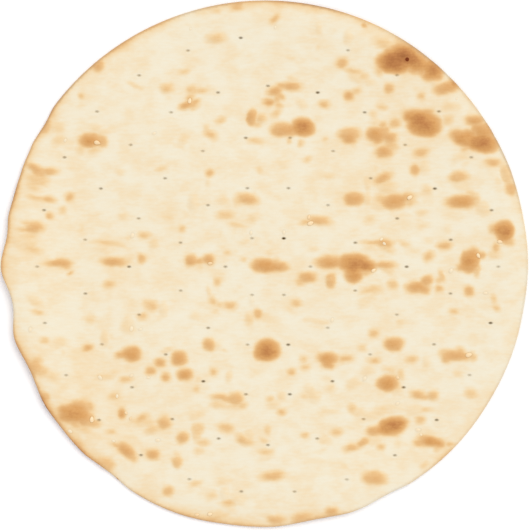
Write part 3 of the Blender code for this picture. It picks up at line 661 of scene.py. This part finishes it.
# each seed as (x, y, size, heading, how far its middle sits above the crust)
SEEDS = [
    (x * MM, y * MM, size, math.radians(heading), proud * size)
    for rows, proud in ((SEEDS_ON_TOP, SEED_PROUD), (SEEDS_ROLLED_IN, SEED_PRESSED))
    for x, y, heading, size in rows
]
print(len(SEEDS), "sesame seeds")


# %% [markdown]
# ## The crust's surface
#
# The top at any point is the underside, plus the dough, plus the blisters, less the pricks. It could be
# made by displacing a grid with a texture, but a grid fine enough for a pin hole would be wasteful on the
# flat dough. Here the points are chosen first: the rim, rings round every pin hole and seed, then a
# triangular lattice wherever there is still room. A Delaunay triangulation joins them.


# %% The top's height
def pit_depth(x, y):
    """Each docking hole is a steep little cone, as deep as it stayed open."""
    depth = np.zeros_like(x)
    for near, away, open_share in holes_near(x, y):
        hollow = PIT_DEPTH * (0.5 + 0.5 * open_share) * np.clip(1 - away, 0, None)
        depth[near] = np.maximum(depth[near], hollow)
    return depth


def top_height(x, y):
    sheet = underside_height(x, y) + dough_thickness(x, y) + roller_ridges(x, y)
    return sheet + blister_rise(x, y) - pit_depth(x, y)


# %% Choosing the points
RIM_POINTS = 860
EDGE_ROUND = 0.6 * MM
TOP_LATTICE = 1.13 * MM
UNDERSIDE_LATTICE = 2.2 * MM
LATTICE_ROW = 0.866  # from row to row, as a share of the spacing
# each ring as a share of the half-sizes and a count of points
PIT_RINGS = ((0.35, 6), (0.7, 10), (1.0, 14), (1.4, 14))
CHARRED_RINGS = ((0.3, 5), (0.7, 10), (1.0, 12), (1.4, 14))
SEED_RINGS = ((0.5, 6), (0.85, 14), (1.05, 16), (1.35, 16))


def rim_points(inset):
    angle = np.arange(RIM_POINTS) * 2 * math.pi / RIM_POINTS
    radius = rim_radius(angle) - inset
    return list(zip(radius * np.cos(angle), radius * np.sin(angle)))


def rings_round(centre, half_length, half_width, turn, rings):
    """Rings of points round a place. Each ring is a share of the half-sizes and a count."""
    points = []
    for share, count in rings:
        angle = np.arange(count) * 2 * math.pi / count
        along, across = share * half_length * np.cos(angle), share * half_width * np.sin(angle)
        x = centre[0] + along * math.cos(turn) - across * math.sin(turn)
        y = centre[1] + along * math.sin(turn) + across * math.cos(turn)
        points.extend(zip(x, y))
    return points


def lattice_points(spacing):
    """A triangular lattice inside the rim."""
    rows = int(RADIUS / spacing / LATTICE_ROW) + 1
    row, column = np.meshgrid(np.arange(-rows, rows + 1), np.arange(-rows, rows + 1), indexing="ij")
    x = ((column + 0.5 * (row % 2)) * spacing).ravel()
    y = (row * spacing * LATTICE_ROW).ravel()
    keep = rim_distance(x, y) > EDGE_ROUND + 0.6 * spacing
    return list(zip(x[keep], y[keep]))


def add_clear(kept, points, gap):
    """Adds the points that are at least gap away from those kept before this call."""
    tree = KDTree(len(kept))
    for index, (x, y) in enumerate(kept):
        tree.insert((x, y, 0), index)
    tree.balance()
    kept.extend(point for point in points if tree.find((*point, 0))[2] > gap)


def top_points():
    points = rim_points(EDGE_ROUND)
    for x, y, _ in HOLES:
        points.append((x, y))
        points += rings_round((x, y), PIT_HALF_LENGTH, PIT_HALF_WIDTH, 0.0, PIT_RINGS)
    for x, y, radius in CHARRED:
        points += rings_round((x * MM, y * MM), radius * MM, radius * MM, 0.0, CHARRED_RINGS)
    for x, y, size, heading, _ in SEEDS:
        half_length, half_width = 0.5 * SEED_LENGTH * size, 0.5 * SEED_WIDTH * size
        points += rings_round((x, y), half_length, half_width, heading, SEED_RINGS)
    add_clear(points, lattice_points(TOP_LATTICE), 0.5 * TOP_LATTICE)
    return points


def underside_points():
    points = rim_points(EDGE_ROUND)
    add_clear(points, lattice_points(UNDERSIDE_LATTICE), 0.5 * UNDERSIDE_LATTICE)
    return points


# %% Joining them into one closed body
EDGE_PROFILE = ((0.28, 0.1), (0.06, 0.3), (0.0, 0.52), (0.08, 0.75), (0.3, 0.92))


def tile(points):
    """Triangles, all facing up, between points inside the rim, which comes first in the list."""
    rim = list(range(RIM_POINTS))
    flat = [Vector(point) for point in points]
    corners, _, faces, originals, _, _ = delaunay_2d_cdt(flat, [], [rim], 1, 1e-8)
    places = {original: new for new, olds in enumerate(originals) for original in olds}
    corners, faces = np.array(corners, float), np.array(faces)
    first, second, third = (corners[faces[:, k]] for k in range(3))
    area = np.cross(second - first, third - first)
    faces[area < 0] = faces[area < 0][:, ::-1]
    return corners, faces, np.array([places[k] for k in rim])


def make_piece(name, vertices, faces):
    mesh = bpy.data.meshes.new(name)
    mesh.from_pydata(vertices, [], faces)
    mesh.shade_smooth()
    piece = bpy.data.objects.new(name, mesh)
    bpy.context.scene.collection.objects.link(piece)
    return piece


def build_crust():
    """The top, the underside and a rounded edge between them, as one mesh."""
    top, top_faces, top_rim = tile(top_points())
    under, under_faces, under_rim = tile(underside_points())
    top_z = top_height(top[:, 0], top[:, 1])
    under_z = underside_height(under[:, 0], under[:, 1])
    vertices = [np.column_stack((top, top_z)), np.column_stack((under, under_z))]
    faces = [top_faces, under_faces[:, ::-1] + len(top)]
    rings = [top_rim]
    count = len(top) + len(under)
    for inset, share in EDGE_PROFILE:
        ring = np.array(rim_points(inset * MM))
        z = top_z[top_rim] * (1 - share) + under_z[under_rim] * share
        vertices.append(np.column_stack((ring, z)))
        rings.append(np.arange(RIM_POINTS) + count)
        count += RIM_POINTS
    rings.append(under_rim + len(top))
    for upper, lower in zip(rings, rings[1:]):
        upper_next, lower_next = np.roll(upper, -1), np.roll(lower, -1)
        faces.append(np.column_stack((upper, lower, lower_next)))
        faces.append(np.column_stack((upper, lower_next, upper_next)))
    crust = make_piece("crackerbread_crust", np.vstack(vertices).tolist(), np.vstack(faces).tolist())
    return crust, len(top), len(under)


crust, TOP_COUNT, UNDER_COUNT = build_crust()
print(len(crust.data.vertices), "points and", len(crust.data.polygons), "triangles in the crust")


# %% [markdown]
# ## Painting the bake onto the points
#
# The bake is worked out once per point and kept in three attributes that the material reads: `toast`, how
# brown the dough is, then the painted shade that darkens each pin hole and the crease round each seed,
# and `lip`, the painted shade that greys the very edge. The underside lay on the hearth, so it has a toast
# map of its own: many small freckles where it touched.


# %% Bake attributes
# painted shade in the crease round each seed: stronger round seeds that stand proud, fainter round rolled-in
# ones
CREASE_DARK = 0.14
CREASE_FAINT = 0.08
CREASE_REACH = 0.35
CREASE_NEAR = 5 * MM  # no crease is farther than this from its seed


def underside_toast(x, y):
    warped_x = x + (3.0 * mottle(x, y, 6 * MM, 53) + 1.2 * mottle(y, x, 3 * MM, 54)) * MM
    warped_y = y + (3.0 * mottle(y, x, 6 * MM, 55) + 1.2 * mottle(x, y, 3 * MM, 56)) * MM
    # the second mottling is turned by 45 degrees, so that no freckle comes out square
    level = 0.6 * mottle(warped_x, warped_y, 4.5 * MM, 51, stretch=1.3)
    level += 0.6 * mottle(warped_x + warped_y, warped_x - warped_y, 7.5 * MM, 57)
    freckles = soft_step(level, 0.15, 0.85)
    patches = 0.5 + 0.5 * mottle(warped_x, warped_y, 28 * MM, 52)
    return 0.55 * freckles * patches + 0.1 * patches


# painted shade in each pin hole, darker the more the hole stayed open
def pit_shade_map(x, y):
    dark = np.zeros_like(x)
    for near, away, open_share in holes_near(x, y):
        dark[near] = np.maximum(dark[near], open_share * (1 - soft_step(away, 0.3, 1.2)))
    return dark


def seed_crease_shade(x, y):
    """A thin line of painted shade round each seed, in the crease where the dough parted from it."""
    painted_shade = np.zeros_like(x)
    for seed_x, seed_y, size, heading, proud in SEEDS:
        dark = CREASE_DARK if proud > 0 else CREASE_FAINT
        near = np.abs(x - seed_x) + np.abs(y - seed_y) < CREASE_NEAR
        dx, dy = x[near] - seed_x, y[near] - seed_y
        away = ellipse_distance(dx, dy, 0.5 * SEED_LENGTH * size, 0.5 * SEED_WIDTH * size, heading)
        painted_shade[near] = np.maximum(painted_shade[near], dark * bump((away - 1.0) / CREASE_REACH))
    return painted_shade


def add_attribute(mesh, name, values):
    attribute = mesh.attributes.new(name, "FLOAT", "POINT")
    attribute.data.foreach_set("value", values.astype(np.float32))


def paint_bake(mesh):
    co = np.empty(len(mesh.vertices) * 3, np.float32)
    mesh.vertices.foreach_get("co", co)
    x, y, _ = co.reshape(-1, 3).astype(float).T
    toast = np.hypot(toast_map(x, y), rim_toast(x, y))
    under = slice(TOP_COUNT, TOP_COUNT + UNDER_COUNT)
    toast[under] = np.hypot(underside_toast(x[under], y[under]), rim_toast(x[under], y[under]))
    # painted shade in the pin holes and the seed creases, none on the underside
    painted_shade = np.maximum(pit_shade_map(x, y), seed_crease_shade(x, y))
    painted_shade[under] = 0
    add_attribute(mesh, "toast", toast)
    add_attribute(mesh, "painted_shade", painted_shade)
    # painted shade on the rim's lip
    add_attribute(mesh, "lip", lip_shade(x, y))
    print(f"toast from {toast.min():.2f} to {toast.max():.2f}, mean {toast.mean():.3f}")


paint_bake(crust.data)


# %% [markdown]
# ## The crust's finish
#
# Baked dough is matt and dry. Its cream isn't one colour: the rollers left pale and warm streaks along X,
# and broad patches are a little more golden. The toast attribute runs through a colour ramp from cream
# over straw and tan to brown, with fine noise so that a browned patch looks grainy. Small noise drives a
# shallow bump for the pores.

# %% Material helpers
BRIGHTNESS = 1.132


def seen(red, green, blue):
    """The finish that looks like this screen colour, from 0 to 255, in the light above."""
    channels = []
    for value in (red, green, blue):
        value /= 255
        linear = value / 12.92 if value <= 0.04045 else ((value + 0.055) / 1.055) ** 2.4
        channels.append(linear / BRIGHTNESS)
    return (*channels, 1.0)


class Finish:
    """A material under construction, with short words for the nodes that it needs."""

    def __init__(self, name):
        self.material = bpy.data.materials.new(name)
        self.material.use_nodes = True
        self.nodes = self.material.node_tree.nodes
        self.links = self.material.node_tree.links
        self.surface = self.nodes["Principled BSDF"]
        self.place = self.nodes.new("ShaderNodeTexCoord").outputs["Object"]

    def feed(self, node, inputs):
        """Gives each input, by name or number, a fixed value or another node's output."""
        for name, value in inputs.items():
            if isinstance(value, bpy.types.NodeSocket):
                self.links.new(value, node.inputs[name])
            else:
                node.inputs[name].default_value = value

    def add(self, kind, inputs):
        node = self.nodes.new("ShaderNode" + kind)
        self.feed(node, inputs)
        return node

    def attribute(self, name):
        node = self.add("Attribute", {})
        node.attribute_name = name
        return node.outputs["Fac"]

    def noise(self, size, stretch=1.0, detail=2.0, roughness=0.5):
        """Noise with features about size across, drawn out along X."""
        scale = (1 / (size * stretch), 1 / size, 1 / size)
        place = self.add("Mapping", {"Scale": scale, "Vector": self.place}).outputs["Vector"]
        inputs = {"Vector": place, "Scale": 1.0, "Detail": detail, "Roughness": roughness}
        return self.add("TexNoise", inputs).outputs["Fac"]

    def ranged(self, value, low, high, new_low=0.0, new_high=1.0):
        limits = {"From Min": low, "From Max": high, "To Min": new_low, "To Max": new_high}
        node = self.add("MapRange", {"Value": value, **limits})
        node.interpolation_type = "SMOOTHSTEP"
        return node.outputs["Result"]

    def maths(self, operation, first, second):
        node = self.add("Math", {0: first, 1: second})
        node.operation = operation
        return node.outputs["Value"]

    def blend(self, share, first, second):
        """A mix of two colours. Numbers 6 and 7 are the colour inputs, and 2 is the colour output."""
        node = self.add("Mix", {"Factor": share, 6: first, 7: second})
        node.data_type = "RGBA"
        return node.outputs[2]

    def ramp(self, value, stops):
        node = self.add("ValToRGB", {"Fac": value})
        elements = node.color_ramp.elements
        while len(elements) < len(stops):
            elements.new(0.5)
        for element, (position, colour) in zip(elements, stops):
            element.position = position
            element.color = colour
        return node.outputs["Color"]

    def bump(self, height, strength, distance):
        node = self.add("Bump", {"Height": height, "Strength": strength, "Distance": distance})
        self.feed(self.surface, {"Normal": node.outputs["Normal"]})


# %% Baked dough
# one scale for the whole bake, from raw cream at 0 to burnt dough
BAKE_STOPS = (
    (0.0, seen(243, 237, 215)), (0.1, seen(243, 231, 202)), (0.2, seen(243, 222, 183)),
    (0.32, seen(241, 211, 162)), (0.45, seen(235, 195, 139)), (0.6, seen(228, 181, 122)),
    (0.8, seen(219, 163, 98)), (1.0, seen(193, 131, 75)), (BURNT, seen(120, 50, 8)),
)
# the colour of the painted shade in pin holes and seed creases
SHADE_BROWN = seen(98, 71, 12)
# the grey of the painted shade on the rim's lip
LIP_SHADE_GREY = seen(140, 119, 104)


def baked_dough():
    finish = Finish("baked_dough")
    toast, painted_shade = finish.attribute("toast"), finish.attribute("painted_shade")
    streaks = finish.ranged(finish.noise(1.3 * MM, stretch=4, detail=2), 0.3, 0.7, 0.02, 0.07)
    patches = finish.ranged(finish.noise(9 * MM, stretch=1.4, detail=3), 0.3, 0.75, 0, 0.13)
    grain = finish.maths("MULTIPLY", finish.maths("SUBTRACT", finish.noise(1.4 * MM), 0.5), 0.2)
    grainy = finish.maths("MULTIPLY", toast, finish.maths("ADD", grain, 1.0))
    bake = finish.maths("ADD", finish.maths("ADD", streaks, patches), grainy)
    stops = [(position / BURNT, colour) for position, colour in BAKE_STOPS]
    browned = finish.ramp(finish.maths("DIVIDE", bake, BURNT), stops)
    # painted shade greys the rim's lip
    lip_shaded = finish.blend(finish.attribute("lip"), browned, LIP_SHADE_GREY)
    # painted shade darkens the pin holes and the creases round the seeds
    colour = finish.blend(painted_shade, lip_shaded, SHADE_BROWN)
    finish.feed(finish.surface, {"Base Color": colour, "Roughness": 0.62, "Specular IOR Level": 0.15})
    finish.bump(finish.noise(0.7 * MM, detail=4, roughness=0.65), 0.25, 0.15 * MM)
    return finish.material


crust.data.materials.append(baked_dough())
print("crust finished")

# %% [markdown]
# ## The sesame seeds
#
# A hulled sesame seed is a flat teardrop, blunt at one end and pointed at the other. One profile, swept
# round its long axis and flattened, makes it. All the seeds become one mesh, as they are one kind of
# thing. Each has its own `shade`, and those that were rolled in have a `cover`, a thin skin of dough.

# %% Seed shape
SEED_PROFILE = (
    (-0.48, 0.0), (-0.45, 0.38), (-0.36, 0.74), (-0.2, 0.97), (-0.02, 1.0), (0.16, 0.85),
    (0.31, 0.58), (0.43, 0.3), (0.5, 0.1), (0.52, 0.0),
)
SEED_SIDES = 14
SHADE_DRAW = 77


def seed_rings():
    """The seed's points, ring by ring, in its own frame."""
    points = []
    for along, share in SEED_PROFILE[1:-1]:
        for k in range(SEED_SIDES):
            angle = 2 * math.pi * k / SEED_SIDES
            across = 0.5 * SEED_WIDTH * share * math.cos(angle)
            up = 0.5 * SEED_HEIGHT * share * math.sin(angle)
            points.append((along * SEED_LENGTH, across, up))
    blunt, sharp = SEED_PROFILE[0][0], SEED_PROFILE[-1][0]
    return points + [(blunt * SEED_LENGTH, 0, 0), (sharp * SEED_LENGTH, 0, 0)]


def seed_faces():
    rings = len(SEED_PROFILE) - 2
    blunt, sharp = rings * SEED_SIDES, rings * SEED_SIDES + 1
    last = (rings - 1) * SEED_SIDES
    faces = []
    for k in range(SEED_SIDES):
        after = (k + 1) % SEED_SIDES
        faces.append((blunt, after, k))
        faces.append((sharp, last + k, last + after))
        for ring in range(rings - 1):
            near, far = ring * SEED_SIDES, (ring + 1) * SEED_SIDES
            faces.append((near + k, near + after, far + after, far + k))
    return faces


def lie_on_crust(x, y, size, heading, proud):
    """A seed's place on the top, tilted with the crust, whose height is read there and at four sides."""
    step = 1 * MM
    steps_x, steps_y = np.array([0, step, -step, 0, 0]), np.array([0, 0, 0, step, -step])
    height, right, left, behind, before = top_height(x + steps_x, y + steps_y)
    upright = Vector((left - right, before - behind, 2 * step)).normalized()
    tilt = Vector((0, 0, 1)).rotation_difference(upright).to_matrix().to_4x4()
    middle = Vector((x, y, height)) + upright * proud
    return Matrix.Translation(middle) @ tilt @ Matrix.Rotation(heading, 4, "Z") @ Matrix.Scale(size, 4)


def build_seeds():
    shape, sides = seed_rings(), seed_faces()
    vertices, faces, shades, covers = [], [], [], []
    rng = random.Random(SHADE_DRAW)
    for x, y, size, heading, proud in SEEDS:
        place = lie_on_crust(x, y, size, heading, proud)
        faces.extend(tuple(k + len(vertices) for k in face) for face in sides)
        vertices.extend(tuple(place @ Vector(point)) for point in shape)
        shades.extend([rng.random()] * len(shape))
        covers.extend([0.0 if proud > 0 else rng.uniform(0.65, 0.95)] * len(shape))
    seeds = make_piece("sesame_seeds", vertices, faces)
    add_attribute(seeds.data, "shade", np.array(shades))
    add_attribute(seeds.data, "cover", np.array(covers))
    return seeds


seeds = build_seeds()
print(len(seeds.data.polygons), "faces in the seeds")


# %% Sesame finish
def sesame():
    finish = Finish("sesame_seed")
    shade = finish.blend(finish.attribute("shade"), seen(253, 229, 186), seen(248, 217, 168))
    mottled = finish.ranged(finish.noise(0.9 * MM), 0.45, 0.7, 0, 0.4)
    bare = finish.blend(mottled, shade, seen(242, 201, 148))
    colour = finish.blend(finish.attribute("cover"), bare, seen(244, 229, 196))
    finish.feed(finish.surface, {"Base Color": colour, "Roughness": 0.42})
    finish.bump(finish.noise(0.35 * MM), 0.15, 0.05 * MM)
    return finish.material


seeds.data.materials.append(sesame())
print("seeds finished")

# %% [markdown]
# ## Handing over
#
# Both pieces ride on the only body, and together they stand for the imported bread.

# %% Ride, replace and finish
for piece, slot in ((crust, "baked_dough"), (seeds, "sesame_seed")):
    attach(piece, "root")
    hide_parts("crackerbread")
